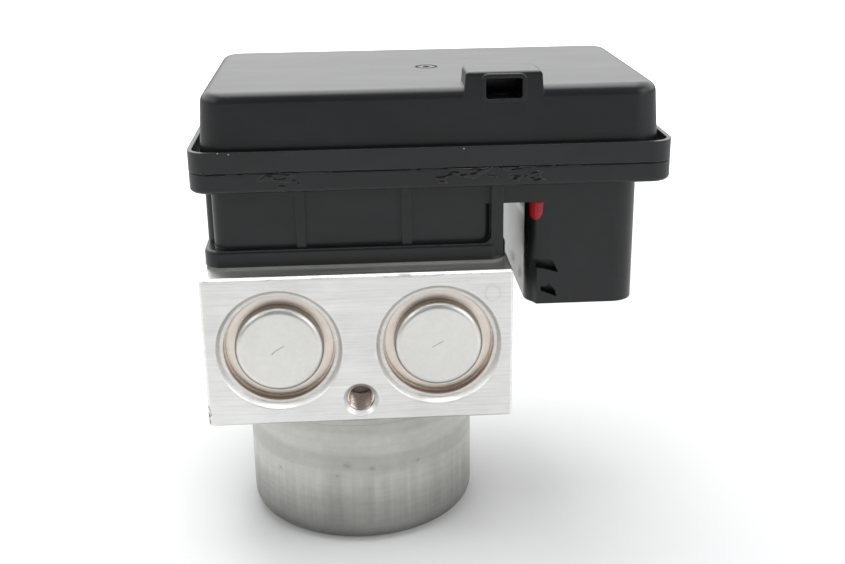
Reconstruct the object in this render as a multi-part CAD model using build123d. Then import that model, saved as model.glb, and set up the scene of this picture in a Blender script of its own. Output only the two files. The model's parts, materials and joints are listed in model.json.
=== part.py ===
from build123d import *
import os
from math import cos, radians, sin, tan

# Anti-lock brake module: pump motor, hydraulic block and control unit, in millimetres.
# The origin is the centre of the flat end of the motor can, on which the module stands.
# +Z runs from the motor up to the control unit, X is the width and -Y is the front face.

os.makedirs("parts", exist_ok=True)

# ---------------------------------------------------------------- driving dimensions
BLOCK_WIDTH = 90.0
BLOCK_DEPTH = 92.0
BLOCK_HEIGHT = 46.0
MOTOR_RADIUS = 36.0
MOTOR_HEIGHT = 42.5
MOTOR_TO_FRONT = 38.0

CAN_WALL = 2.2
CAN_EDGE = 4.5
SHAFT_RADIUS = 4.0
CHAMBER_RADIUS = 13.0
CHAMBER_DEPTH = 22.0
ECCENTRICITY = 1.0
PISTON_RADIUS = 3.5
RUNNING_FIT = 0.03
FREE_GAP = 0.3

ACCUMULATOR_SPACING = 46.6
ACCUMULATOR_RISE = 23.4
CAP_SEAT_RADIUS = 16.3
CAP_FACE_DEPTH = 4.9
ACCUMULATOR_RADIUS = 14.5
ACCUMULATOR_DEPTH = 24.0

BEARING_HEIGHT = 7.0
RACE_HEIGHT = 9.0
RACE_STEP = 1.5

DOME_RADIUS = 3.6
YOKE_HEIGHT = 17.5
YOKE_GAP = 1.2

FOOT_HEIGHT = 5.0
GASKET = 0.8
WALL = 2.4
RIM_RISE = 23.2
RIM_HEIGHT = 6.0
LIP_HEIGHT = 6.0
TRAY_RISE = 17.0
COVER_RISE = 51.1
COVER_EDGE = 3.3
HOOD_RISE = 4.2
CONNECTOR_DROP = 31.6
BOARD_THICKNESS = 1.6

# ---------------------------------------------------------------- derived places
FRONT = -MOTOR_TO_FRONT
BACK = FRONT + BLOCK_DEPTH
SIDE = BLOCK_WIDTH / 2
BASE = MOTOR_HEIGHT
TOP = BASE + BLOCK_HEIGHT
PUMP_Z = BASE + BEARING_HEIGHT + RACE_STEP + RACE_HEIGHT / 2
CAP_X = ACCUMULATOR_SPACING / 2
CAP_Z = BASE + ACCUMULATOR_RISE

# Control unit, from the block upwards.
FOOT_BASE = TOP + GASKET
FOOT_TOP = FOOT_BASE + FOOT_HEIGHT
TRAY_BASE = TOP + TRAY_RISE
TRAY_FLOOR = TRAY_BASE + 2.5
RIM_BASE = TOP + RIM_RISE
SEAM = RIM_BASE + RIM_HEIGHT
LIP_TOP = SEAM + LIP_HEIGHT
COVER_TOP = TOP + COVER_RISE
HOOD_TOP = COVER_TOP + HOOD_RISE
CONNECTOR_BASE = TRAY_BASE - CONNECTOR_DROP
BOARD_Z = RIM_BASE + 0.3

# Plan outlines of the control unit: x and y limits, and corner radius.
FOOT = (-SIDE + 1.0, SIDE - 1.0, FRONT + 7.8, BACK - 2.0, 5.0)
BOX = (-SIDE + 3.8, SIDE - 3.8, FRONT + 10.6, BACK - 4.5, 4.0)
CONNECTOR_WIDTH = 32.8
CONNECTOR_START = SIDE + 5.4
CONNECTOR = (CONNECTOR_START, CONNECTOR_START + CONNECTOR_WIDTH, BOX[2], BACK - 14.0, 7.0)
TRAY = (BOX[0], CONNECTOR[1], BOX[2], BOX[3], 7.0)
RIM = (TRAY[0] - 5.6, TRAY[1] + 8.6, TRAY[2] - 5.0, TRAY[3] + 5.0, 6.5)
DOME_FOOT = (RIM[0] + 2.9, RIM[1] - 2.8, RIM[2] + 3.0, RIM[3] - 3.0, 8.0)

SCREW_X = SIDE - 4.0
SCREW_YS = (FRONT + 22.0, BACK - 6.0)
MOTOR_SCREW_ANGLES = (90.0, 215.0, 325.0)
MOTOR_SCREW_CIRCLE = MOTOR_RADIUS + 4.0
LEAD_Y = 18.0
INLET_PORTS = ((-16.0, BACK - 9.0), (16.0, BACK - 9.0))
OUTLET_XS = (-30.0, -10.0, 10.0, 30.0)
OUTLET_Z = BASE + 30.0
BRACKET_HOLES = ((-36.0, BACK - 14.0), (36.0, BACK - 14.0))
FRONT_HOLE_Z = BASE + 6.9
VALVE_PITCH = (BLOCK_WIDTH - 13.2) / 4
VALVE_XS = tuple(VALVE_PITCH * (i - 1.5) for i in range(4))
VALVE_ROWS = (FRONT + 42.0, FRONT + 66.0)
YOKE_RADIUS = (VALVE_PITCH - YOKE_GAP) / 2


# ---------------------------------------------------------------- helpers
def rod(radius, z0, z1, x=0.0, y=0.0):
    """A vertical cylinder between two heights."""
    return Pos(x, y, (z0 + z1) / 2) * Cylinder(radius, z1 - z0)


def rod_x(radius, x0, x1, y, z):
    """A cylinder along X."""
    return Pos((x0 + x1) / 2, y, z) * Rot(0, 90, 0) * Cylinder(radius, abs(x1 - x0))


def rod_y(radius, y0, y1, x, z):
    """A cylinder along Y."""
    return Pos(x, (y0 + y1) / 2, z) * Rot(90, 0, 0) * Cylinder(radius, abs(y1 - y0))


def brick(x0, x1, y0, y1, z0, z1):
    """A box between limits."""
    centre = Pos((x0 + x1) / 2, (y0 + y1) / 2, (z0 + z1) / 2)
    return centre * Box(abs(x1 - x0), abs(y1 - y0), abs(z1 - z0))


def outline(plan, grow=0.0):
    """A rounded rectangle from x and y limits and a corner radius."""
    x0, x1, y0, y1, corner = plan
    width = x1 - x0 + 2 * grow
    depth = y1 - y0 + 2 * grow
    radius = max(corner + grow, 0.6)
    return Pos((x0 + x1) / 2, (y0 + y1) / 2) * RectangleRounded(width, depth, radius)


def slab(plan, z0, z1, grow=0.0):
    """A prism over a rounded rectangle."""
    return Pos(0, 0, z0) * extrude(outline(plan, grow), amount=z1 - z0)


def spin(points, axis=Axis.Z):
    """A solid of revolution from an outline of (radius, height) points."""
    return revolve(make_face(Polyline(*[(r, 0, z) for r, z in points], close=True)), axis)


def coil(radius, wire, length, turns):
    """A compression spring standing on z = 0."""
    pitch = (length - 2 * wire) / turns
    path = Helix(pitch=pitch, height=length - 2 * wire, radius=radius)
    section = Plane(origin=path @ 0, z_dir=path % 0) * Circle(wire)
    return Pos(0, 0, wire) * sweep(section, path=path, is_frenet=True)


def along_x(shape, x, y, z, side=1):
    """Stands a shape built along +Z on its side, along +X or -X."""
    return Pos(x, y, z) * Rot(0, 90 * side, 0) * shape


def into_block(shape, x, z):
    """Stands a shape built along +Z on the front face, pointing into the block."""
    return Pos(x, FRONT, z) * Rot(-90, 0, 0) * shape


def save(name, *solids):
    """Writes one node from its separate solids."""
    found = [solid for shape in solids for solid in shape.solids()]
    export_step(found[0] if len(found) == 1 else Compound(found), f"parts/{name}.step")


# ---------------------------------------------------------------- hydraulic block
EDGE = 0.7
PLUG_RADIUS = 8.5
PLUG_DEPTH = 12.0
SLEEVE_RADIUS = 7.0
SLEEVE_INNER_X = CHAMBER_RADIUS + 2.5
GROOVE_RADIUS = CAP_SEAT_RADIUS + 1.0
RING_THICKNESS = 1.1
RING_INNER = CAP_SEAT_RADIUS - 0.6
RING_GAP = 3.0
CAP_FLANGE = 1.6
LEDGE_WIDTH = 0.9
LEDGE_DEPTH = 1.9
CONE_WIDTH = 1.4
LIP = 0.3
VALVE_SEAT_DEPTH = 20.0
VALVE_BODY_RADIUS = 5.0
VALVE_FLANGE_RADIUS = 6.5
VALVE_FLANGE = 2.0
FRONT_HOLE_RADIUS = 4.0
FRONT_HOLE_DEPTH = 15.0
FRONT_HOLE_MOUTH = 5.3
BRACKET_HOLE_RADIUS = 3.0
BRACKET_HOLE_DEPTH = 12.0
OUTLET_RADIUS = 4.5
INLET_RADIUS = 5.5
PORT_DEPTH = 13.0
ECU_SCREW_RADIUS = 1.9
MOTOR_SCREW_RADIUS = 2.1
MOTOR_SCREW_REACH = 10.0
LEAD_HOLE_RADIUS = 3.5
BALL_RADIUS = 2.5
BALL_SINK = 0.6
BALL_SEAT = 2 * BALL_RADIUS + BALL_SINK
PASSAGE_RADIUS = 1.5

MOTOR_SCREWS = [
    (MOTOR_SCREW_CIRCLE * cos(radians(a)), MOTOR_SCREW_CIRCLE * sin(radians(a)))
    for a in MOTOR_SCREW_ANGLES
]
ECU_SCREWS = [(x, y) for x in (-SCREW_X, SCREW_X) for y in SCREW_YS]
VALVES = [(x, y) for y in VALVE_ROWS for x in VALVE_XS]

# Cross drillings: where each starts on the outside, and how far it runs inwards.
SIDE_DRILL_YS = (BACK - 30.0, BACK - 13.0)
SIDE_DRILL_Z = BASE + 24.0
SIDE_DRILL_RUN = 26.0
BACK_DRILL_X = 0.0
BACK_DRILL_Z = BASE + 14.0
BACK_DRILL_RUN = 30.0


def port(radius, depth, spot):
    """A tube-nut port along -Z from its mouth at z = 0, with its flare seat."""
    seat = spin([(0, -depth - 2.2), (radius * 0.35, -depth - 2.2), (radius, -depth), (0, -depth)])
    mouth = spin([(0, 0), (radius + 1.0, 0), (radius, -1.0), (0, -1.0)])
    return rod(radius, -depth, 0) + rod(spot, -0.8, 0.1) + seat + Pos(0, 0, -0.8) * mouth


def accumulator_bore():
    """Stepped bore for one accumulator: coned mouth down to a ledge, then ring groove and cap seat."""
    seat = CAP_FACE_DEPTH + CAP_FLANGE
    ledge = CAP_SEAT_RADIUS + LEDGE_WIDTH
    mouth = ledge + CONE_WIDTH
    cone = spin([(0, 0), (mouth, 0), (mouth - LIP, LIP), (ledge, LEDGE_DEPTH), (0, LEDGE_DEPTH)])
    groove = rod(GROOVE_RADIUS, CAP_FACE_DEPTH - RING_THICKNESS, CAP_FACE_DEPTH)
    bore = rod(CAP_SEAT_RADIUS, 0, seat) + rod(ACCUMULATOR_RADIUS, 0, ACCUMULATOR_DEPTH)
    return bore + cone + groove


def tapped_hole(radius, depth, mouth):
    """A blind hole along +Z from z = 0, with a countersunk mouth and drilled end."""
    cone = spin([(0, 0), (mouth, 0), (radius, mouth - radius), (0, mouth - radius)])
    tip = spin([(0, depth), (radius, depth), (0, depth + radius * 0.6)])
    return rod(radius, 0, depth) + cone + tip


def hydraulic_block():
    body = brick(-SIDE, SIDE, FRONT, BACK, BASE, TOP)
    body = chamfer(body.edges(), EDGE)
    cuts = [rod(CHAMBER_RADIUS, BASE, BASE + CHAMBER_DEPTH)]
    for side in (-1, 1):
        plug_end = side * (SIDE - PLUG_DEPTH)
        inner = side * SLEEVE_INNER_X
        cuts.append(rod_x(PLUG_RADIUS, side * SIDE, plug_end, 0, PUMP_Z))
        cuts.append(rod_x(SLEEVE_RADIUS, plug_end, inner, 0, PUMP_Z))
        cuts.append(rod_x(PISTON_RADIUS + 0.7, 0, inner, 0, PUMP_Z))
        cuts.append(into_block(accumulator_bore(), side * CAP_X, CAP_Z))
        for y in SIDE_DRILL_YS:
            reach = side * (SIDE - SIDE_DRILL_RUN)
            cuts.append(rod_x(PASSAGE_RADIUS, side * SIDE, reach, y, SIDE_DRILL_Z))
            cuts.append(rod_x(BALL_RADIUS, side * SIDE, side * (SIDE - BALL_SEAT), y, SIDE_DRILL_Z))
    for x, y in VALVES:
        cuts.append(rod(VALVE_BODY_RADIUS, TOP - VALVE_SEAT_DEPTH, TOP, x, y))
        cuts.append(rod(VALVE_FLANGE_RADIUS, TOP - VALVE_FLANGE, TOP, x, y))
    for x, y in ECU_SCREWS:
        cuts.append(rod(ECU_SCREW_RADIUS + 0.2, BASE, TOP, x, y))
    for x, y in MOTOR_SCREWS:
        cuts.append(rod(MOTOR_SCREW_RADIUS, BASE, BASE + MOTOR_SCREW_REACH + 1.0, x, y))
    for x, y in INLET_PORTS:
        cuts.append(Pos(x, y, BASE) * Rot(180, 0, 0) * port(INLET_RADIUS, PORT_DEPTH, 8.0))
        cuts.append(rod(PASSAGE_RADIUS, BASE + PORT_DEPTH, TOP - 8.0, x, y))
    for x in OUTLET_XS:
        cuts.append(Pos(x, BACK, OUTLET_Z) * Rot(-90, 0, 0) * port(OUTLET_RADIUS, PORT_DEPTH, 7.4))
        cuts.append(rod_y(PASSAGE_RADIUS, BACK - PORT_DEPTH - 10.0, BACK - PORT_DEPTH, x, OUTLET_Z))
    for x, y in BRACKET_HOLES:
        cuts.append(Pos(x, y, BASE) * tapped_hole(BRACKET_HOLE_RADIUS, BRACKET_HOLE_DEPTH, 3.7))
    front_hole = tapped_hole(FRONT_HOLE_RADIUS, FRONT_HOLE_DEPTH, FRONT_HOLE_MOUTH)
    cuts.append(into_block(front_hole, 0, FRONT_HOLE_Z))
    cuts.append(rod(LEAD_HOLE_RADIUS, BASE, TOP, 0, LEAD_Y))
    cuts.append(rod_y(BALL_RADIUS, BACK, BACK - BALL_SEAT, BACK_DRILL_X, BACK_DRILL_Z))
    cuts.append(rod_y(PASSAGE_RADIUS, BACK, BACK - BACK_DRILL_RUN, BACK_DRILL_X, BACK_DRILL_Z))
    return body - cuts


save("hydraulic_block", hydraulic_block())


def ball_plugs():
    depth = SIDE - BALL_SINK - BALL_RADIUS
    places = [(side * depth, y, SIDE_DRILL_Z) for side in (-1, 1) for y in SIDE_DRILL_YS]
    places.append((BACK_DRILL_X, BACK - BALL_SINK - BALL_RADIUS, BACK_DRILL_Z))
    return [Pos(*place) * Sphere(BALL_RADIUS) for place in places]


save("ball_plugs", *ball_plugs())

# ---------------------------------------------------------------- pump motor
CAN_FLANGE = 2.0
CAN_INNER = MOTOR_RADIUS - CAN_WALL
PLATE_THICKNESS = 2.2
PLATE_BASE = BASE - PLATE_THICKNESS
BUSH_RADIUS = 6.0
BUSH_TOP = 8.0
BEARING_TOP = BASE + BEARING_HEIGHT
JOURNAL_RADIUS = 5.0
BEARING_BALL = 1.75
BEARING_PITCH = 9.05
STACK_RADIUS = 27.6
STACK_BASE = 9.0
STACK_TOP = 28.0
SLOT_COUNT = 12
SLOT_WIDTH = 3.4
SLOT_FLOOR = 13.0
MAGNET_INNER = STACK_RADIUS + 0.9
MAGNET_POLES = 4
MAGNET_SPAN = 74.0
WINDING_RADIUS = 25.0
WINDING_TOP = STACK_TOP + 4.4
WINDING_BASE = STACK_BASE - 3.6
COMMUTATOR_RADIUS = 9.0
COMMUTATOR_TOP = PLATE_BASE - 1.9
BRUSH_Z = COMMUTATOR_TOP - 2.3
BRUSH_WIDTH = 5.0
BRUSH_HEIGHT = 4.0
BRUSH_LENGTH = 8.0
BRUSH_START = COMMUTATOR_RADIUS + FREE_GAP
BRUSH_BOX_END = 27.0
BRUSH_TRAVEL = 2.0
CARRIER_THICKNESS = 1.5
ECCENTRIC_RADIUS = 6.5
RACE_RADIUS = 9.0
RACE_BASE = PUMP_Z - RACE_HEIGHT / 2


def ear_plate(radius, z0, z1, hole):
    """A flange with one ear round each motor screw."""
    plate = rod(radius, z0, z1)
    for angle, (x, y) in zip(MOTOR_SCREW_ANGLES, MOTOR_SCREWS):
        web = Pos(x / 2, y / 2, z0) * Rot(0, 0, angle) * Rectangle(MOTOR_SCREW_CIRCLE, 10.0)
        plate += extrude(web, amount=z1 - z0)
        plate += rod(5.0, z0, z1, x, y)
    for x, y in MOTOR_SCREWS:
        plate -= rod(hole, z0, z1, x, y)
    return plate


def motor_can():
    shell = rod(MOTOR_RADIUS, 0, BASE)
    shell = fillet(shell.edges().sort_by(Axis.Z)[0], CAN_EDGE)
    shell += ear_plate(MOTOR_RADIUS + 1.2, BASE - CAN_FLANGE, BASE, MOTOR_SCREW_RADIUS + 0.3)
    hollow = rod(CAN_INNER, CAN_WALL, BASE)
    hollow = fillet(hollow.edges().sort_by(Axis.Z)[0], CAN_EDGE - CAN_WALL)
    collar = rod(BUSH_RADIUS + 2.0, CAN_WALL, BUSH_TOP) - rod(BUSH_RADIUS, CAN_WALL, BUSH_TOP)
    return shell - hollow + collar


save("motor_can", motor_can())
save("rear_bush", rod(BUSH_RADIUS, CAN_WALL, BUSH_TOP) - rod(SHAFT_RADIUS + RUNNING_FIT, CAN_WALL, BUSH_TOP))


def motor_end_plate():
    plate = rod(CAN_INNER, PLATE_BASE, BASE)
    plate -= rod(CHAMBER_RADIUS - 2.0, PLATE_BASE, BASE)
    return plate - rod(LEAD_HOLE_RADIUS, PLATE_BASE, BASE, 0, LEAD_Y)


save("motor_end_plate", motor_end_plate())


def motor_magnets():
    low = STACK_BASE - 2
    high = STACK_TOP + 2
    ring = rod(CAN_INNER, low, high) - rod(MAGNET_INNER, low, high)
    pitch = 360 / MAGNET_POLES
    half_gap = radians((pitch - MAGNET_SPAN) / 2)
    reach = 2 * MOTOR_RADIUS
    side_x = reach * cos(half_gap)
    side_y = reach * sin(half_gap)
    wedge = make_face(Polyline((0, 0), (side_x, -side_y), (side_x, side_y), close=True))
    for i in range(MAGNET_POLES):
        ring -= Rot(0, 0, pitch * i) * extrude(wedge, amount=BASE)
    return ring


save("motor_magnets", motor_magnets())


def armature_stack():
    stack = rod(STACK_RADIUS, STACK_BASE, STACK_TOP) - rod(SHAFT_RADIUS, STACK_BASE, STACK_TOP)
    for i in range(SLOT_COUNT):
        slot = brick(SLOT_FLOOR, STACK_RADIUS - 2.0, -SLOT_WIDTH / 2, SLOT_WIDTH / 2, STACK_BASE, STACK_TOP)
        mouth = brick(SLOT_FLOOR, STACK_RADIUS + 1, -0.8, 0.8, STACK_BASE, STACK_TOP)
        stack -= Rot(0, 0, 360 / SLOT_COUNT * i) * (slot + mouth)
    return stack


save("armature_stack", armature_stack())


def armature_windings():
    """Both end turns, joined by the coil sides that lie in the slots."""
    inner = SLOT_FLOOR - 1.0
    lower = spin([
        (inner, STACK_BASE), (inner, WINDING_BASE + 1), (inner + 2, WINDING_BASE),
        (WINDING_RADIUS - 3, WINDING_BASE), (WINDING_RADIUS, WINDING_BASE + 2), (WINDING_RADIUS, STACK_BASE),
    ])
    upper = spin([
        (inner, STACK_TOP), (inner, WINDING_TOP - 1), (inner + 2, WINDING_TOP),
        (WINDING_RADIUS - 3, WINDING_TOP), (WINDING_RADIUS, WINDING_TOP - 2), (WINDING_RADIUS, STACK_TOP),
    ])
    turns = lower + upper
    half = SLOT_WIDTH / 2 - 0.1
    for i in range(SLOT_COUNT):
        side = brick(SLOT_FLOOR + 0.1, WINDING_RADIUS - 0.1, -half, half, STACK_BASE, STACK_TOP)
        turns += Rot(0, 0, 360 / SLOT_COUNT * i) * side
    return turns


save("armature_windings", armature_windings())


def commutator():
    body = rod(COMMUTATOR_RADIUS, STACK_TOP, COMMUTATOR_TOP) - rod(SHAFT_RADIUS, STACK_TOP, COMMUTATOR_TOP)
    for i in range(SLOT_COUNT):
        cut = brick(COMMUTATOR_RADIUS - 0.8, COMMUTATOR_RADIUS + 1, -0.25, 0.25, WINDING_TOP, COMMUTATOR_TOP)
        body -= Rot(0, 0, 360 / SLOT_COUNT * (i + 0.5)) * cut
    return body


save("commutator", commutator())


def rotor_shaft():
    """Stepped shaft, with the pump eccentric at its upper end."""
    shaft = spin([
        (0, CAN_WALL + 0.5), (SHAFT_RADIUS - 0.4, CAN_WALL + 0.5), (SHAFT_RADIUS, CAN_WALL + 0.9),
        (SHAFT_RADIUS, PLATE_BASE), (JOURNAL_RADIUS + 1.2, PLATE_BASE), (JOURNAL_RADIUS + 1.2, BASE),
        (JOURNAL_RADIUS, BASE), (JOURNAL_RADIUS, BEARING_TOP + 0.3), (0, BEARING_TOP + 0.3),
    ])
    collar = rod(ECCENTRIC_RADIUS + 1.1, BEARING_TOP + 0.3, RACE_BASE - 0.2, 0, ECCENTRICITY)
    return shaft + collar + rod(ECCENTRIC_RADIUS, RACE_BASE - 0.2, RACE_BASE + RACE_HEIGHT + 0.6, 0, ECCENTRICITY)


save("rotor_shaft", rotor_shaft())


def eccentric_ring():
    inner = ECCENTRIC_RADIUS + RUNNING_FIT
    ring = rod(RACE_RADIUS, RACE_BASE, RACE_BASE + RACE_HEIGHT) - rod(inner, RACE_BASE, RACE_BASE + RACE_HEIGHT)
    outer_edges = ring.edges().filter_by(GeomType.CIRCLE).group_by(SortBy.RADIUS)[-1]
    return Pos(0, ECCENTRICITY, 0) * chamfer(outer_edges, 0.4)


save("eccentric_ring", eccentric_ring())


def bearing():
    """Deep-groove ball bearing of the drive end: outer ring, inner ring and balls."""
    middle = BASE + BEARING_HEIGHT / 2
    outer = rod(CHAMBER_RADIUS, BASE, BEARING_TOP) - rod(BEARING_PITCH + 1.15, BASE, BEARING_TOP)
    inner = rod(BEARING_PITCH - 1.3, BASE, BEARING_TOP) - rod(JOURNAL_RADIUS, BASE, BEARING_TOP)
    outer -= Pos(0, 0, middle) * Torus(BEARING_PITCH, BEARING_BALL)
    inner -= Pos(0, 0, middle) * Torus(BEARING_PITCH, BEARING_BALL + 0.1)
    ball = Pos(BEARING_PITCH, 0, middle) * Sphere(BEARING_BALL)
    return outer, inner, [Rot(0, 0, 360 / 9 * i) * ball for i in range(9)]


bearing_outer, bearing_inner, bearing_ball_set = bearing()
save("bearing_outer_ring", bearing_outer)
save("bearing_inner_ring", bearing_inner)
save("bearing_balls", *bearing_ball_set)


def brush_holder():
    """Moulded carrier with two brush boxes and the tower that leads the terminals up."""
    carrier = rod(CAN_INNER - 0.3, PLATE_BASE - CARRIER_THICKNESS, PLATE_BASE)
    carrier -= rod(COMMUTATOR_RADIUS + 1.5, PLATE_BASE - CARRIER_THICKNESS, PLATE_BASE)
    for side in (-1, 1):
        low = BRUSH_Z - BRUSH_HEIGHT / 2 - 1.0
        start = side * (COMMUTATOR_RADIUS + 1.8)
        end = side * BRUSH_BOX_END
        half = BRUSH_WIDTH / 2
        carrier += brick(start, end, -half - 1.4, half + 1.4, low, PLATE_BASE)
        low_in = BRUSH_Z - BRUSH_HEIGHT / 2 - RUNNING_FIT
        high_in = BRUSH_Z + BRUSH_HEIGHT / 2 + RUNNING_FIT
        edge = half + RUNNING_FIT
        carrier -= brick(start - side, end - side * 1.6, -edge, edge, low_in, high_in)
    carrier += rod(LEAD_HOLE_RADIUS - 0.1, PLATE_BASE, TOP + 12.0, 0, LEAD_Y)
    return carrier - [rod(0.9, PLATE_BASE - 1.0, TOP + 12.0, x, LEAD_Y) for x in (-1.6, 1.6)]


save("brush_holder", brush_holder())
lead_pins = [rod(0.9, PLATE_BASE - 1.0, BOARD_Z + BOARD_THICKNESS + 1.0, x, LEAD_Y) for x in (-1.6, 1.6)]
save("motor_terminals", *lead_pins)


def brush(side):
    y = BRUSH_WIDTH / 2
    z = BRUSH_HEIGHT / 2
    end = BRUSH_START + BRUSH_LENGTH
    return brick(side * BRUSH_START, side * end, -y, y, BRUSH_Z - z, BRUSH_Z + z)


def brush_spring(side):
    start = BRUSH_START + BRUSH_LENGTH
    length = BRUSH_BOX_END - 1.6 - start
    return along_x(coil(1.4, 0.3, length, 5), side * start, 0, BRUSH_Z, side)


for side, name in ((-1, "left"), (1, "right")):
    save(f"brush_{name}", brush(side))
    save(f"brush_spring_{name}", brush_spring(side))


def cap_screw(radius, head_radius, head_height, length):
    """A screw standing on its head at z = 0, with a socket in the head."""
    head = rod(head_radius, 0, head_height)
    head = chamfer(head.edges().sort_by(Axis.Z)[0], 0.5)
    socket = extrude(RegularPolygon(head_radius * 0.5, 6), amount=head_height * 0.6)
    return head - socket + rod(radius, head_height, head_height + length)


MOTOR_SCREW_HEAD = 3.0
ECU_SCREW_HEAD = 3.2
motor_screw = cap_screw(MOTOR_SCREW_RADIUS, 4.0, MOTOR_SCREW_HEAD, CAN_FLANGE + MOTOR_SCREW_REACH)
motor_screw_z = BASE - CAN_FLANGE - MOTOR_SCREW_HEAD
save("motor_screws", *[Pos(x, y, motor_screw_z) * motor_screw for x, y in MOTOR_SCREWS])

# ---------------------------------------------------------------- pump elements
PISTON_START = RACE_RADIUS + ECCENTRICITY + FREE_GAP
PISTON_TRAVEL = ECCENTRICITY
SLEEVE_OUTER_X = SIDE - PLUG_DEPTH - 2.0
SPRING_POCKET_X = SLEEVE_OUTER_X - 8.0
PISTON_END_X = SLEEVE_OUTER_X - 5.0
SPRING_POCKET_RADIUS = 5.2


def pump_sleeve():
    """Cylinder liner, built along +Z from the motor axis."""
    sleeve = rod(SLEEVE_RADIUS, SLEEVE_INNER_X, SLEEVE_OUTER_X)
    sleeve -= rod(PISTON_RADIUS + RUNNING_FIT, SLEEVE_INNER_X, SLEEVE_OUTER_X)
    return sleeve - rod(SPRING_POCKET_RADIUS, SPRING_POCKET_X, SLEEVE_OUTER_X)


def pump_piston():
    head = rod(SPRING_POCKET_RADIUS - 0.4, PISTON_END_X - 1.5, PISTON_END_X)
    body = rod(PISTON_RADIUS, PISTON_START, PISTON_END_X) + head
    return body - rod(1.0, PISTON_END_X - 9.0, PISTON_END_X)


def pump_plug():
    """Threaded closing plug with a hexagon socket and a nose that holds the sleeve."""
    body = rod(PLUG_RADIUS, SIDE - PLUG_DEPTH, SIDE - 0.6) + rod(SLEEVE_RADIUS, SLEEVE_OUTER_X, SIDE - PLUG_DEPTH)
    socket = Pos(0, 0, SIDE - 6.6) * extrude(RegularPolygon(4.6, 6), amount=6.0)
    return chamfer(body.edges().sort_by(Axis.Z)[-1], 0.5) - socket


for side, name in ((-1, "left"), (1, "right")):
    save(f"pump_sleeve_{name}", along_x(pump_sleeve(), 0, 0, PUMP_Z, side))
    save(f"pump_piston_{name}", along_x(pump_piston(), 0, 0, PUMP_Z, side))
    save(f"pump_plug_{name}", along_x(pump_plug(), 0, 0, PUMP_Z, side))
    pump_spring = Pos(0, 0, PISTON_END_X) * coil(3.6, 0.5, SLEEVE_OUTER_X - PISTON_END_X, 3)
    save(f"pump_spring_{name}", along_x(pump_spring, 0, 0, PUMP_Z, side))

# ---------------------------------------------------------------- accumulators
HAT_RADIUS = 13.0
HAT_TOP_DEPTH = 0.5
HAT_EDGE = 2.0
SHEET = 1.4
ACC_PISTON_LENGTH = 9.0
ACC_PISTON_END = ACCUMULATOR_DEPTH - 0.4
ACC_TRAVEL = 6.5
ACC_FLOOR = 2.5
SEAL_WIDTH = 2.2
SEAL_DEPTH = 1.7


def accumulator_cap():
    """Pressed hat-shaped cap: flange on its seat, crown nearly level with the block face."""
    seat = CAP_FACE_DEPTH + CAP_FLANGE
    crown = rod(HAT_RADIUS, HAT_TOP_DEPTH, seat)
    crown = fillet(crown.edges().sort_by(Axis.Z)[0], HAT_EDGE)
    hollow = rod(HAT_RADIUS - SHEET, HAT_TOP_DEPTH + SHEET, seat)
    return crown + rod(CAP_SEAT_RADIUS, CAP_FACE_DEPTH, seat) - hollow


def accumulator_ring():
    """Open retaining ring, sprung into the groove in front of the cap."""
    start = CAP_FACE_DEPTH - RING_THICKNESS
    ring = rod(GROOVE_RADIUS, start, CAP_FACE_DEPTH) - rod(RING_INNER, start, CAP_FACE_DEPTH)
    return ring - brick(-RING_GAP, RING_GAP, -GROOVE_RADIUS - 2, 0, start, CAP_FACE_DEPTH)


def accumulator_piston():
    start = ACC_PISTON_END - ACC_PISTON_LENGTH
    radius = ACCUMULATOR_RADIUS - 2 * RUNNING_FIT
    body = rod(radius, start, ACC_PISTON_END) - rod(radius - 3.2, start, ACC_PISTON_END - ACC_FLOOR)
    middle = start + ACC_PISTON_LENGTH / 2
    groove = rod(radius + 1, middle, middle + SEAL_WIDTH) - rod(radius - SEAL_DEPTH, middle, middle + SEAL_WIDTH)
    return body - groove


def accumulator_seal():
    start = ACC_PISTON_END - ACC_PISTON_LENGTH / 2
    outer = ACCUMULATOR_RADIUS - RUNNING_FIT
    inner = ACCUMULATOR_RADIUS - 2 * RUNNING_FIT - SEAL_DEPTH
    ring = rod(outer, start, start + SEAL_WIDTH) - rod(inner, start, start + SEAL_WIDTH)
    return chamfer(ring.edges().filter_by(GeomType.CIRCLE).group_by(SortBy.RADIUS)[-1], 0.5)


def accumulator_spring():
    start = HAT_TOP_DEPTH + SHEET
    end = ACC_PISTON_END - ACC_FLOOR
    return Pos(0, 0, start) * coil(9.4, 0.8, end - start, 5)


for side, name in ((-1, "left"), (1, "right")):
    x = side * CAP_X
    save(f"accumulator_cap_{name}", into_block(accumulator_cap(), x, CAP_Z))
    save(f"accumulator_ring_{name}", into_block(accumulator_ring(), x, CAP_Z))
    save(f"accumulator_piston_{name}", into_block(accumulator_piston(), x, CAP_Z))
    save(f"accumulator_seal_{name}", into_block(accumulator_seal(), x, CAP_Z))
    save(f"accumulator_spring_{name}", into_block(accumulator_spring(), x, CAP_Z))

# ---------------------------------------------------------------- valves and coils
DOME_TOP = TOP + YOKE_HEIGHT - 1.0
PLUNGER_RADIUS = 2.5
PLUNGER_TRAVEL = 0.3
PLUNGER_BASE = TOP - 2.5
PLUNGER_TOP = TOP + 8.0
PLATE = 1.4
YOKE_TOP = TOP + YOKE_HEIGHT
BOBBIN_RADIUS = YOKE_RADIUS - 1.0
COIL_PIN = 0.7
COIL_PIN_Y = BOBBIN_RADIUS - 2.0


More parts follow.
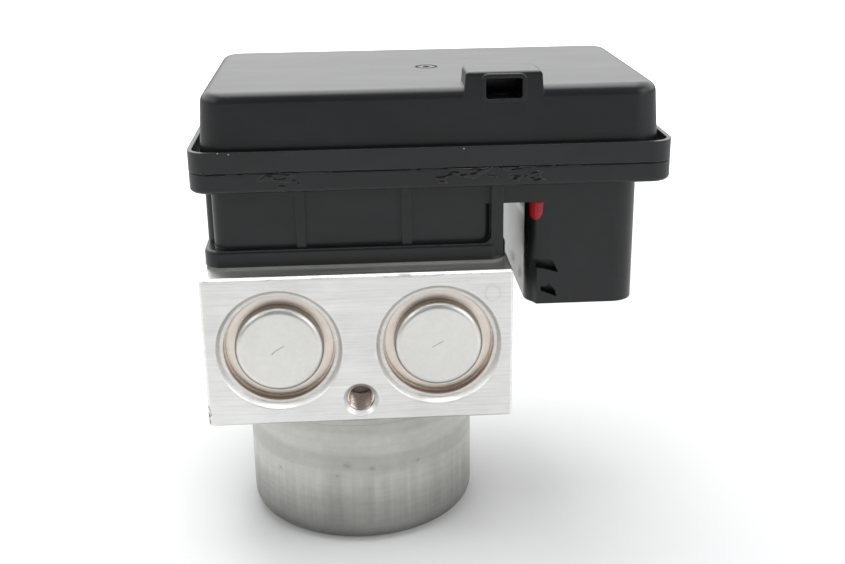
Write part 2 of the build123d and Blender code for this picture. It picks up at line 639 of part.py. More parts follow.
def valve_body(tip_radius, tip_length):
    """Valve cartridge: seat end in the block, crimped flange and guide dome."""
    bottom = TOP - VALVE_SEAT_DEPTH
    body = rod(VALVE_BODY_RADIUS, bottom + tip_length, TOP) + rod(tip_radius, bottom, bottom + tip_length)
    body += rod(VALVE_FLANGE_RADIUS, TOP - VALVE_FLANGE, TOP) + rod(DOME_RADIUS, TOP, DOME_TOP)
    guide = PLUNGER_RADIUS + RUNNING_FIT
    body -= rod(guide, PLUNGER_BASE - 0.05, PLUNGER_TOP + PLUNGER_TRAVEL + 0.1)
    body -= rod(1.0, bottom, PLUNGER_BASE)
    return body


def plunger(pin_radius, pin_length):
    body = rod(PLUNGER_RADIUS, PLUNGER_BASE, PLUNGER_TOP)
    return body + rod(pin_radius, PLUNGER_BASE - pin_length, PLUNGER_BASE)


def coil_yoke():
    """Steel cup round one coil, closed below and above by plates."""
    yoke = rod(YOKE_RADIUS, TOP, YOKE_TOP) - rod(BOBBIN_RADIUS, TOP + PLATE, YOKE_TOP - PLATE)
    yoke -= rod(DOME_RADIUS, TOP, YOKE_TOP)
    pins = [rod(COIL_PIN, YOKE_TOP - PLATE, YOKE_TOP, x, COIL_PIN_Y) for x in (-1.8, 1.8)]
    return yoke - pins


def solenoid_coil():
    """Wound bobbin with its two pins up to the circuit board."""
    body = rod(BOBBIN_RADIUS, TOP + PLATE, YOKE_TOP - PLATE) - rod(DOME_RADIUS, TOP + PLATE, YOKE_TOP - PLATE)
    for x in (-1.8, 1.8):
        body += rod(COIL_PIN, YOKE_TOP - PLATE, BOARD_Z + BOARD_THICKNESS + 0.8, x, COIL_PIN_Y)
    return body


inlet_body = valve_body(3.6, 4.0)
outlet_body = valve_body(4.2, 2.5)
save("inlet_valve_bodies", *[Pos(x, VALVE_ROWS[0], 0) * inlet_body for x in VALVE_XS])
save("outlet_valve_bodies", *[Pos(x, VALVE_ROWS[1], 0) * outlet_body for x in VALVE_XS])
for i, x in enumerate(VALVE_XS, start=1):
    save(f"inlet_plunger_{i}", Pos(x, VALVE_ROWS[0], 0) * plunger(0.8, 6.0))
    save(f"outlet_plunger_{i}", Pos(x, VALVE_ROWS[1], 0) * plunger(0.6, 3.0))
save("coil_yokes", *[Pos(x, y, 0) * coil_yoke() for x, y in VALVES])
save("solenoid_coils", *[Pos(x, y, 0) * solenoid_coil() for x, y in VALVES])

# ---------------------------------------------------------------- control unit housing
BOSS_RADIUS = 2.8
PILLAR = (SIDE - 5.6, SIDE - 2.1)
PANEL_CORNER = 2.5
RIB_XS = (-15.7, 14.9)
RIB_WIDTH = 2.8
RIB_OUT = 1.2
RIM_SKIN = 1.6
RIM_ROOF = 2.5
PIN_FLOOR = 5.5
SHROUD_WALL = 2.2
POST_SIZE = 5.0
POCKET_DEPTH = 3.6
GUIDE_WIDTH = 11.0
GUIDE_HEIGHT = 16.0
SEAM_GROOVE = 0.5


def shroud():
    """Solid outside of the connector, with the square guide pad at its front corner."""
    body = slab(CONNECTOR, CONNECTOR_BASE, TRAY_FLOOR)
    x0 = CONNECTOR[0]
    y0 = CONNECTOR[2]
    pad = Polyline((x0 + 2.0, y0 + 2.1), (x0 + 3.0, y0), (x0 + 9.0, y0), (x0 + 9.0, y0 + 3.0), close=True)
    return body + Pos(0, 0, CONNECTOR_BASE) * extrude(make_face(pad), amount=13.2)


def pad_pockets():
    """Two wedge pockets of the locking slide, cut in the guide pad."""
    x0 = CONNECTOR[0]
    z0 = CONNECTOR_BASE
    upper = [(2.6, 11.4), (2.6, 13.4), (6.6, 13.9), (7.8, 13.2), (9.4, 9.8), (4.4, 11.2)]
    lower = [(4.2, 4.1), (4.2, 5.6), (5.6, 5.3), (6.6, 6.4), (8.6, 4.1), (9.0, 2.2)]
    cuts = []
    for points in (upper, lower):
        face = make_face(Polyline(*[(x0 + x, CONNECTOR[2] - 1, z0 + z) for x, z in points], close=True))
        cuts.append(extrude(face, amount=1.0 + POCKET_DEPTH, dir=(0, 1, 0)))
    return cuts


def screw_bosses(z0, z1):
    return [rod(BOSS_RADIUS, z0, z1, x, y) for x, y in ECU_SCREWS]


def front_ribs():
    x0, x1, y0, y1, corner = BOX
    ribs = [
        brick(x - RIB_WIDTH / 2, x + RIB_WIDTH / 2, y0 - RIB_OUT, y0 + 1, FOOT_TOP, RIM_BASE)
        for x in RIB_XS
    ]
    ribs += [
        brick(x - RIB_WIDTH / 2, x + RIB_WIDTH / 2, y1 - 1, y1 + RIB_OUT, FOOT_TOP, RIM_BASE)
        for x in RIB_XS
    ]
    for y in (0.0, 24.0):
        ribs.append(brick(x0 - RIB_OUT, x0 + 1, y - RIB_WIDTH / 2, y + RIB_WIDTH / 2, FOOT_TOP, RIM_BASE))
    return ribs


def corner_pillar():
    """Pillar at the front corner beside the connector, with the round corner of the panel."""
    left, right = PILLAR
    face = FOOT[2] + 0.2
    pillar = brick(left, right, face, BOX[2] + 4, FOOT_BASE + 1, RIM_BASE + 1)
    corner = brick(left - PANEL_CORNER, left, face, BOX[2] + 1, FOOT_TOP - 1, FOOT_TOP + PANEL_CORNER)
    return pillar + (corner - rod_y(PANEL_CORNER, face, BOX[2] + 1, left - PANEL_CORNER, FOOT_TOP + PANEL_CORNER))


def ecu_housing():
    foot = slab(FOOT, FOOT_BASE, FOOT_TOP)
    foot = fillet(foot.edges().group_by(Axis.Z)[-1], 1.0)
    body = foot + slab(BOX, FOOT_BASE, RIM_BASE) + slab(TRAY, TRAY_BASE, RIM_BASE + 1)
    body += corner_pillar()
    for piece in front_ribs() + screw_bosses(FOOT_BASE, RIM_BASE):
        body += piece
    rim = slab(RIM, RIM_BASE, SEAM)
    rim = fillet(rim.edges().group_by(Axis.Z)[0], 1.2)
    skin = slab(RIM, RIM_BASE, SEAM - RIM_ROOF, -RIM_SKIN) - slab(TRAY, RIM_BASE, SEAM - RIM_ROOF, RIB_OUT + 0.4)
    body += rim - skin
    body += shroud()
    body -= slab(BOX, FOOT_BASE, TRAY_FLOOR, -WALL)
    body -= slab(TRAY, TRAY_FLOOR, SEAM, -WALL)
    body -= slab(CONNECTOR, CONNECTOR_BASE, TRAY_BASE - PIN_FLOOR + 2.0, -SHROUD_WALL)
    guide_back = CONNECTOR[2] + POCKET_DEPTH + 1.6
    guide = slab(CONNECTOR, CONNECTOR_BASE, CONNECTOR_BASE + GUIDE_HEIGHT, -0.5)
    guide_end = CONNECTOR[0] + GUIDE_WIDTH
    body += guide & brick(CONNECTOR[0], guide_end, CONNECTOR[2], guide_back, CONNECTOR_BASE, FOOT_TOP)
    body -= slab(RIM, SEAM - SEAM_GROOVE, SEAM) - slab(RIM, SEAM - SEAM_GROOVE, SEAM, -SEAM_GROOVE)
    for cut in pad_pockets():
        body -= cut
    # Posts that carry the circuit board.
    inner = (BOX[0] + WALL, BOX[1] - WALL, BOX[2] + WALL, BOX[3] - WALL)
    for y in (inner[2], inner[3] - POST_SIZE):
        body += brick(inner[0] - 1, inner[0] + POST_SIZE, y - 0.5, y + POST_SIZE + 0.5, FOOT_TOP, BOARD_Z)
    for y in (inner[2] + 3, inner[3] - 3):
        body += rod(2.6, TRAY_FLOOR - 1, BOARD_Z, TRAY[1] - WALL - 4.0, y)
    body -= [rod(ECU_SCREW_RADIUS, FOOT_BASE, TRAY_BASE, x, y) for x, y in ECU_SCREWS]
    for place in PIN_PLACES + BLADE_PLACES:
        body -= place
    return body


# Terminals of the connector: rows of signal pins, and two wide blades for the pump motor.
PIN_SIDE = 0.8
PIN_BASE = CONNECTOR_BASE + 12.0
PIN_TOP = BOARD_Z + BOARD_THICKNESS + 1.2
PIN_ROWS = 3
PIN_COLUMNS = 11
BLADE_WIDTH = 6.0
connector_x = (CONNECTOR[0] + CONNECTOR[1]) / 2
connector_y = (CONNECTOR[2] + CONNECTOR[3]) / 2


def pin_bars():
    bars = []
    for row in range(PIN_ROWS):
        for column in range(PIN_COLUMNS):
            x = connector_x + 5.0 * (row - (PIN_ROWS - 1) / 2)
            y = connector_y - 8.0 + 3.4 * (column - (PIN_COLUMNS - 1) / 2)
            half = PIN_SIDE / 2
            bars.append(brick(x - half, x + half, y - half, y + half, PIN_BASE, PIN_TOP))
    return bars


def blade_bars():
    y = CONNECTOR[3] - 10.0
    half = BLADE_WIDTH / 2
    return [
        brick(x - half, x + half, y - 0.4, y + 0.4, PIN_BASE, PIN_TOP)
        for x in (connector_x - 6.5, connector_x + 6.5)
    ]


PIN_PLACES = pin_bars()
BLADE_PLACES = blade_bars()
save("connector_pins", *PIN_PLACES, *BLADE_PLACES)
save("ecu_housing", ecu_housing())


def housing_gasket():
    seal = slab(FOOT, TOP, FOOT_BASE, -0.3) - slab(BOX, TOP, FOOT_BASE, -WALL)
    return seal - [rod(ECU_SCREW_RADIUS + 0.2, TOP, FOOT_BASE, x, y) for x, y in ECU_SCREWS]


save("housing_gasket", housing_gasket())
ecu_screw = cap_screw(ECU_SCREW_RADIUS, 3.4, ECU_SCREW_HEAD, BLOCK_HEIGHT + GASKET + 12.0)
save("ecu_screws", *[Pos(x, y, BASE - ECU_SCREW_HEAD) * ecu_screw for x, y in ECU_SCREWS])

# ---------------------------------------------------------------- circuit board
BOARD_GAP = 0.4
BOARD_INSET = WALL + BOARD_GAP
BOARD = (TRAY[0] + BOARD_INSET, TRAY[1] - BOARD_INSET, TRAY[2] + BOARD_INSET, TRAY[3] - BOARD_INSET, TRAY[4] - WALL)
BOARD_TOP = BOARD_Z + BOARD_THICKNESS
# Parts on the board: x, y, width, depth, height.
CHIPS = (
    (0.0, -12.0, 20.0, 20.0, 2.2),
    (-22.0, -14.0, 12.0, 9.0, 2.0),
    (24.0, -13.0, 14.0, 10.0, 2.0),
    (8.0, BACK - 13.0, 16.0, 7.0, 2.4),
    (-16.0, BACK - 13.0, 12.0, 7.0, 2.4),
    (52.0, BACK - 16.0, 9.0, 9.0, 3.0),
)
CAPACITORS = ((42.0, -16.0), (42.0, -4.0), (42.0, 8.0))


def circuit_board():
    board = slab(BOARD, BOARD_Z, BOARD_TOP)
    holes = []
    for x, y in VALVES:
        holes += [rod(COIL_PIN, BOARD_Z, BOARD_TOP, x + dx, y + COIL_PIN_Y) for dx in (-1.8, 1.8)]
    holes += [rod(0.9, BOARD_Z, BOARD_TOP, x, LEAD_Y) for x in (-1.6, 1.6)]
    return board - holes - PIN_PLACES - BLADE_PLACES


def board_parts():
    pieces = [
        brick(x - w / 2, x + w / 2, y - d / 2, y + d / 2, BOARD_TOP, BOARD_TOP + h)
        for x, y, w, d, h in CHIPS
    ]
    return pieces + [rod(4.0, BOARD_TOP, BOARD_TOP + 9.0, x, y) for x, y in CAPACITORS]


save("circuit_board", circuit_board())
save("board_parts", *board_parts())

# ---------------------------------------------------------------- cover with vent hood
COVER_WALL = 2.2
COVER_FLANGE = 2.0
LIP_WALL = 1.3
DRAFT = 4.1
HOOD = (32.2, 53.8)
HOOD_BACK = FRONT + 28.0
HOOD_EDGE = 1.2
HOOD_CORNER = 7.0
VENT_WIDTH = 10.4
VENT_HEIGHT = 5.7
VENT_BASE = COVER_TOP - 3.4
VENT_FRAME = 1.3
VENT_RAISE = 0.5
VENT_DEPTH = 15.0
VENT_SKIN = 1.6
MARK_RADIUS = 3.5
MARK_PLACE = (23.6, 10.0)
HOOD_BASE = COVER_TOP - 6.0
VENT_MIDDLE = VENT_BASE + VENT_HEIGHT / 2
vent_x = (HOOD[0] + HOOD[1]) / 2


def front_at(z):
    """Where the drafted front face of the cover lies at a height."""
    return DOME_FOOT[2] + tan(radians(DRAFT)) * (z - SEAM - COVER_FLANGE)


dome_front = front_at(VENT_MIDDLE)


def dome(grow, z0, z1):
    """Tapered body of the cover; grow is negative for its inside."""
    return Pos(0, 0, z0) * extrude(outline(DOME_FOOT, grow), amount=z1 - z0, taper=DRAFT)


def hood_block():
    """Hood over the vent, flush with the front of the cover and rounded in plan at its back."""
    spread = tan(radians(DRAFT)) * (HOOD_TOP - HOOD_BASE)
    front = front_at(HOOD_BASE)
    width = HOOD[1] - HOOD[0] + 2 * spread
    base = Pos(vent_x, (front + HOOD_BACK) / 2, HOOD_BASE) * Rectangle(width, HOOD_BACK - front)
    base = fillet(base.vertices().group_by(Axis.Y)[-1], HOOD_CORNER)
    body = extrude(base, amount=HOOD_TOP - HOOD_BASE, taper=DRAFT)
    return fillet(body.faces().sort_by(Axis.Z)[-1].edges(), HOOD_EDGE)


def vent_frame():
    """Raised frame round the vent window, lying on the drafted front face."""
    slope = radians(DRAFT)
    face = Plane(origin=(vent_x, dome_front, VENT_MIDDLE), x_dir=(1, 0, 0), z_dir=(0, -cos(slope), sin(slope)))
    frame = extrude(RectangleRounded(VENT_WIDTH + 2 * VENT_FRAME, VENT_HEIGHT + 2 * VENT_FRAME, 2.0), amount=VENT_RAISE)
    return face * fillet(frame.edges().group_by(Axis.Z)[-1], VENT_RAISE * 0.7)


def vent_window(depth):
    """Space of the vent window, from in front of the cover to a depth behind its face."""
    window = RectangleRounded(VENT_WIDTH, VENT_HEIGHT, 0.7)
    return Pos(vent_x, dome_front - 2.0, VENT_MIDDLE) * Rot(90, 0, 0) * extrude(window, amount=-depth - 2.0)


def ecu_cover():
    outside = dome(0, SEAM + COVER_FLANGE, COVER_TOP)
    outside = fillet(outside.faces().sort_by(Axis.Z)[-1].edges(), COVER_EDGE)
    body = outside + hood_block() + slab(RIM, SEAM, SEAM + COVER_FLANGE)
    body += slab(RIM, SEAM, LIP_TOP) - slab(RIM, SEAM, LIP_TOP, -LIP_WALL)
    inside = dome(-COVER_WALL, SEAM + COVER_FLANGE, COVER_TOP - COVER_WALL)
    inside = fillet(inside.faces().sort_by(Axis.Z)[-1].edges(), COVER_EDGE - 1.5)
    body -= inside + slab(DOME_FOOT, SEAM, SEAM + COVER_FLANGE + 0.01, -COVER_WALL)
    # Vent chamber under the hood, with its framed window and breather hole.
    half = VENT_WIDTH / 2 + VENT_SKIN
    floor = VENT_BASE - VENT_SKIN
    chamber_end = dome_front + VENT_DEPTH + VENT_SKIN
    body += brick(vent_x - half, vent_x + half, dome_front + 1.0, chamber_end, floor, COVER_TOP)
    body += vent_frame()
    body -= vent_window(VENT_DEPTH)
    body -= rod(1.5, floor, VENT_MIDDLE, vent_x, dome_front + 9.0)
    mark = rod(MARK_RADIUS, COVER_TOP - 0.4, COVER_TOP, *MARK_PLACE)
    mark -= rod(MARK_RADIUS - 0.8, COVER_TOP - 0.4, COVER_TOP, *MARK_PLACE)
    return body - mark - rod(1.1, COVER_TOP - 0.4, COVER_TOP, *MARK_PLACE)


save("ecu_cover", ecu_cover())
save("vent_membrane", rod(3.4, VENT_BASE, VENT_BASE + 0.4, vent_x, dome_front + 9.0))
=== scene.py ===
import json
import math

import bpy
from mathutils import Matrix, Vector, noise

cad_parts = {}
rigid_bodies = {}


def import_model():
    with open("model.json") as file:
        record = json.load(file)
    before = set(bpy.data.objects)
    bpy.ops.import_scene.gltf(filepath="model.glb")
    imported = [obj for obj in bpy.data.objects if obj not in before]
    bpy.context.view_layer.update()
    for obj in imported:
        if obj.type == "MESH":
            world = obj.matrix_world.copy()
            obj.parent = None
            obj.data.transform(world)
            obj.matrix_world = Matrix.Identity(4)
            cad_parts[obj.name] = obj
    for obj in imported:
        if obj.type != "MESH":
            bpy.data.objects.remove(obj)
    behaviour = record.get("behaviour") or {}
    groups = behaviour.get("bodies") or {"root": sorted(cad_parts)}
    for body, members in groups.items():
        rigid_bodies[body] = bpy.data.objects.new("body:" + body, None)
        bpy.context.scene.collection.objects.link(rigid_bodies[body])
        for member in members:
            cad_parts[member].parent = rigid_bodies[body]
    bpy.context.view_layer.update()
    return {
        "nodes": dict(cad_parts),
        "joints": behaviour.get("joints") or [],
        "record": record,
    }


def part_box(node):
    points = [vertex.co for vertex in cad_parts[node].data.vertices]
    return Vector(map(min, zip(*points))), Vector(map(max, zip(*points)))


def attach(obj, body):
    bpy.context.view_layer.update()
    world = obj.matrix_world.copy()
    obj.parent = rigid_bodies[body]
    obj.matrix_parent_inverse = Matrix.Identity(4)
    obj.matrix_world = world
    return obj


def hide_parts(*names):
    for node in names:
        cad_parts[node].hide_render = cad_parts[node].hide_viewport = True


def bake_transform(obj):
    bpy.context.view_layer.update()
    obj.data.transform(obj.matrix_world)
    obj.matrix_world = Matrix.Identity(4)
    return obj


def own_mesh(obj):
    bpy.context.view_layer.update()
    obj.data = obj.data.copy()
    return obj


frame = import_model()
nodes = frame["nodes"]
scene = bpy.context.scene
MM = 0.001

# The photograph's camera: its place, its directions, and its focal length in pixels of the photo.
PHOTO_WIDTH = 845
FOCAL_PIXELS = 1179.9
SENSOR_WIDTH = 36.0
CAMERA_PLACE = (-0.0003, -0.3565, 0.19784)
CAMERA_RIGHT = (0.99786, -0.06403, -0.01300)
CAMERA_AHEAD = (0.05611, 0.94180, -0.33145)

# Places on the part that the looks and the trim are tied to, in metres.
BLOCK_FRONT = -0.038
CAP_X = 0.0233
CAP_Z = 0.0659
CAP_CROWN = -0.0375
CAN_HEIGHT = 0.0425
RIM_X = (-0.0468, 0.0918)
RIM_Y = (-0.0324, 0.0545)
RIM_CORNER = 0.0065
SEAM = 0.1177
SHROUD_CORNER = (0.0574, -0.0204)
SHROUD_RADIUS = 0.0070

# ---------------------------------------------------------------- camera
cam_data = bpy.data.cameras.new("camera")
cam = bpy.data.objects.new("camera", cam_data)
scene.collection.objects.link(cam)
scene.camera = cam
cam_data.sensor_width = SENSOR_WIDTH
cam_data.lens = FOCAL_PIXELS / PHOTO_WIDTH * SENSOR_WIDTH
cam_data.clip_start = 0.01
cam_data.clip_end = 20.0
right = Vector(CAMERA_RIGHT).normalized()
ahead = Vector(CAMERA_AHEAD).normalized()
up = right.cross(ahead).normalized()
right = ahead.cross(up).normalized()
turn = Matrix((right, up, -ahead)).transposed().to_4x4()
cam.matrix_world = Matrix.Translation(CAMERA_PLACE) @ turn
scene.view_settings.view_transform = "Standard"


# ---------------------------------------------------------------- node helpers
class Build:
    """Small helper that makes and links shader nodes."""

    def __init__(self, name):
        self.mat = bpy.data.materials.new(name)
        self.mat.use_nodes = True
        self.tree = self.mat.node_tree
        self.shader = self.tree.nodes["Principled BSDF"]
        self.coord = self.node("ShaderNodeTexCoord").outputs["Object"]

    def node(self, kind, **values):
        n = self.tree.nodes.new(kind)
        for key, value in values.items():
            if hasattr(n, key):
                setattr(n, key, value)
            else:
                n.inputs[key.replace("_", " ")].default_value = value
        return n

    def link(self, a, b):
        self.tree.links.new(a, b)

    def set(self, **values):
        for key, value in values.items():
            name = key.replace("_", " ")
            if name == "Base Color" or name.endswith("Tint"):
                value = (*value, 1.0)
            self.shader.inputs[name].default_value = value

    def stretched(self, scale):
        m = self.node("ShaderNodeMapping")
        m.inputs["Scale"].default_value = scale
        self.link(self.coord, m.inputs["Vector"])
        return m.outputs["Vector"]

    def noise(self, scale, detail=3.0, rough=0.5, stretch=None, distort=0.0):
        n = self.node(
            "ShaderNodeTexNoise", Scale=scale, Detail=detail, Roughness=rough, Distortion=distort)
        self.link(self.stretched(stretch) if stretch else self.coord, n.inputs["Vector"])
        return n.outputs["Fac"]

    def ramp(self, fac, stops):
        r = self.node("ShaderNodeValToRGB")
        self.link(fac, r.inputs["Fac"])
        while len(r.color_ramp.elements) < len(stops):
            r.color_ramp.elements.new(0.5)
        for element, (place, colour) in zip(r.color_ramp.elements, stops):
            element.position = place
            grey = isinstance(colour, (int, float))
            element.color = (colour, colour, colour, 1) if grey else (*colour, 1)
        return r.outputs["Color"]

    def range(self, fac, a, b, lo=0.0, hi=1.0):
        r = self.node("ShaderNodeMapRange")
        r.inputs["From Min"].default_value = lo
        r.inputs["From Max"].default_value = hi
        r.inputs["To Min"].default_value = a
        r.inputs["To Max"].default_value = b
        self.link(fac, r.inputs["Value"])
        return r.outputs["Result"]

    def math(self, op, a, b=None, clamp=False):
        m = self.node("ShaderNodeMath", operation=op, use_clamp=clamp)
        for i, v in enumerate((a, b)):
            if v is None:
                continue
            if isinstance(v, (int, float)):
                m.inputs[i].default_value = v
            else:
                self.link(v, m.inputs[i])
        return m.outputs[0]

    def mix(self, fac, a, b, blend="MIX"):
        m = self.node("ShaderNodeMix", data_type="RGBA", blend_type=blend)
        for place, v in ((0, fac), (6, a), (7, b)):
            socket = m.inputs[place]
            if isinstance(v, (int, float)):
                socket.default_value = v if place == 0 else (v, v, v, 1)
            elif isinstance(v, tuple):
                socket.default_value = (*v, 1)
            else:
                self.link(v, socket)
        return m.outputs[2]

    def axis(self, letter):
        s = self.node("ShaderNodeSeparateXYZ")
        self.link(self.coord, s.inputs[0])
        return s.outputs[letter]

    def vector(self, op, a, b=None, out="Vector"):
        v = self.node("ShaderNodeVectorMath", operation=op)
        for i, value in enumerate((a, b)):
            if value is None:
                continue
            if isinstance(value, (tuple, Vector)):
                v.inputs[i].default_value = value
            else:
                self.link(value, v.inputs[i])
        return v.outputs[out]

    def shaken(self, amount, scale):
        """Object coordinates pushed about by a noise, for ragged outlines."""
        n = self.node("ShaderNodeTexNoise", Scale=scale, Detail=3)
        self.link(self.coord, n.inputs["Vector"])
        push = self.vector("SUBTRACT", n.outputs["Color"], (0.5, 0.5, 0.5))
        scaled = self.node("ShaderNodeVectorMath", operation="SCALE")
        self.link(push, scaled.inputs[0])
        scaled.inputs["Scale"].default_value = amount
        return self.vector("ADD", self.coord, scaled.outputs["Vector"])

    def spot(self, where, centre, size, soft=0.5):
        """White within size metres of a point, fading over the soft share of it."""
        d = self.vector("DISTANCE", where, centre, "Value")
        return self.range(d, 1, 0, size * (1 - soft), size)

    def stroke(self, where, start, end, size):
        """White along the straight line from start to end, size metres wide."""
        start, end = Vector(start), Vector(end)
        along = end - start
        local = self.vector("SUBTRACT", where, start)
        t = self.vector("DOT_PRODUCT", local, along / along.length_squared, "Value")
        t = self.range(t, 0, 1)
        foot = self.node("ShaderNodeVectorMath", operation="SCALE")
        foot.inputs[0].default_value = along
        self.link(t, foot.inputs["Scale"])
        d = self.vector("DISTANCE", local, foot.outputs["Vector"], "Value")
        return self.range(d, 1, 0, size * 0.3, size)

    def most(self, masks):
        total = masks[0]
        for m in masks[1:]:
            total = self.math("MAXIMUM", total, m)
        return total

    def bump(self, height, distance, strength=1.0, under=None):
        b = self.node("ShaderNodeBump", Strength=strength, Distance=distance)
        self.link(height, b.inputs["Height"])
        if under is not None:
            self.link(under, b.inputs["Normal"])
        return b.outputs["Normal"]

    def finish(self, colour=None, rough=None, normal=None):
        if colour is not None:
            self.link(colour, self.shader.inputs["Base Color"])
        if rough is not None:
            self.link(rough, self.shader.inputs["Roughness"])
        if normal is not None:
            self.link(normal, self.shader.inputs["Normal"])
        return self.mat


def rounded_normal(b, radius):
    """Normal that runs round sharp edges within a radius."""
    return b.node("ShaderNodeBevel", samples=4, Radius=radius).outputs["Normal"]


def edge_mask(b, radius):
    """White on sharp edges, from the difference of a rounded and a flat normal, and the former."""
    rounded = rounded_normal(b, radius)
    flat = b.node("ShaderNodeNewGeometry").outputs["Normal"]
    return b.range(b.vector("DOT_PRODUCT", rounded, flat, "Value"), 1.0, 0.0, 0.85, 0.995), rounded


def scaled(colour, factor):
    return tuple(c * factor for c in colour)


# ---------------------------------------------------------------- materials
GRAIN_HEIGHT = 0.000012
EDGE_WEAR = (0.05, 0.05, 0.055)


def black_plastic(b, base, rough):
    """Colour, roughness and normal of a glass-filled moulding with grain, flow marks and wear."""
    fine = b.noise(2600, 2)
    flow = b.noise(55, 4, 0.6, (1, 1, 2.2), 0.6)
    smear = b.noise(70, 4, 0.6, (0.35, 1, 1))
    edges, rounded = edge_mask(b, 0.0005)
    colour = b.ramp(flow, [(0.3, scaled(base, 0.8)), (0.7, scaled(base, 1.25))])
    worn = b.math("MULTIPLY", edges, b.range(smear, 0.0, 0.5, 0.4, 0.7))
    colour = b.mix(worn, colour, EDGE_WEAR)
    roughness = b.range(smear, rough - 0.02, rough + 0.03, 0.3, 0.7)
    return colour, roughness, b.bump(fine, GRAIN_HEIGHT, 0.4, rounded)


COVER_SPECKS = (
    (-0.0376, -0.0324, 0.1236), (-0.0346, -0.0324, 0.1232), (0.0312, -0.0324, 0.1231),
)
SPECK_RADIUS = 0.00024


def cover_plastic():
    """Black moulding with a few pale specks on its lip."""
    b = Build("cover_plastic")
    b.set(IOR=1.5, Specular_IOR_Level=0.5)
    colour, rough, normal = black_plastic(b, (0.0085, 0.0092, 0.0106), 0.33)
    specks = b.most([b.spot(b.coord, place, SPECK_RADIUS) for place in COVER_SPECKS])
    colour = b.mix(specks, colour, (0.42, 0.42, 0.41))
    return b.finish(colour, rough, normal)


def housing_plastic():
    """Black moulding whose side faces are smooth, with upright streaks, so that they mirror."""
    b = Build("housing_plastic")
    b.set(IOR=1.5, Specular_IOR_Level=0.44)
    colour, rough, normal = black_plastic(b, (0.0088, 0.0096, 0.0106), 0.30)
    geo = b.node("ShaderNodeNewGeometry")
    parts = b.node("ShaderNodeSeparateXYZ")
    b.link(geo.outputs["True Normal"], parts.inputs[0])
    side = b.range(b.math("ABSOLUTE", parts.outputs["X"]), 0, 1, 0.9, 0.98)
    streak = b.ramp(b.noise(160, 3, 0.6, (1, 1, 0.08)), [(0.3, 0.035), (0.7, 0.10)])
    rough = b.mix(side, rough, streak)
    return b.finish(colour, rough, normal)


def metal(name, colour, rough, lines, depth, stretch=(1, 1, 1)):
    """Bare metal with tool marks, cloudy stains and bright rubbed edges."""
    b = Build(name)
    b.set(Metallic=1.0)
    marks = b.noise(900, 4, 0.65, stretch)
    cloud = b.noise(38, 4, 0.6)
    edges, rounded = edge_mask(b, 0.0004)
    tone = b.ramp(b.noise(lines, 3, 0.6, stretch), [(0.3, 0.86), (0.7, 1.06)])
    stain = b.ramp(cloud, [(0.32, 0.88), (0.62, 1.0)])
    shade = b.mix(1.0, colour, b.mix(1.0, tone, stain, "MULTIPLY"), "MULTIPLY")
    bright = tuple(min(1, c) for c in scaled(colour, 1.25))
    shade = b.mix(b.math("MULTIPLY", edges, 0.5), shade, bright)
    uneven = b.noise(lines * 0.7, 3, 0.6, stretch)
    roughness = b.range(uneven, rough - 0.12 / 2, rough + 0.12 / 2, 0.3, 0.7)
    return b.finish(shade, roughness, b.bump(marks, depth, 0.6, rounded))


TOOL_RING = (0.0390, BLOCK_FRONT, 0.0817)
NICK = ((-0.0450, BLOCK_FRONT, 0.0435), (-0.0450, BLOCK_FRONT, 0.0490))
# Scratches on the block's front, as x and z of both ends.
BLOCK_SCRATCHES = (
    (-0.016, 0.0452, 0.004, 0.0455), (-0.040, 0.0862, -0.029, 0.0859),
    (0.020, 0.0853, 0.034, 0.0857), (-0.044, 0.0560, -0.0425, 0.0620),
    (0.0415, 0.0500, 0.0440, 0.0497),
)


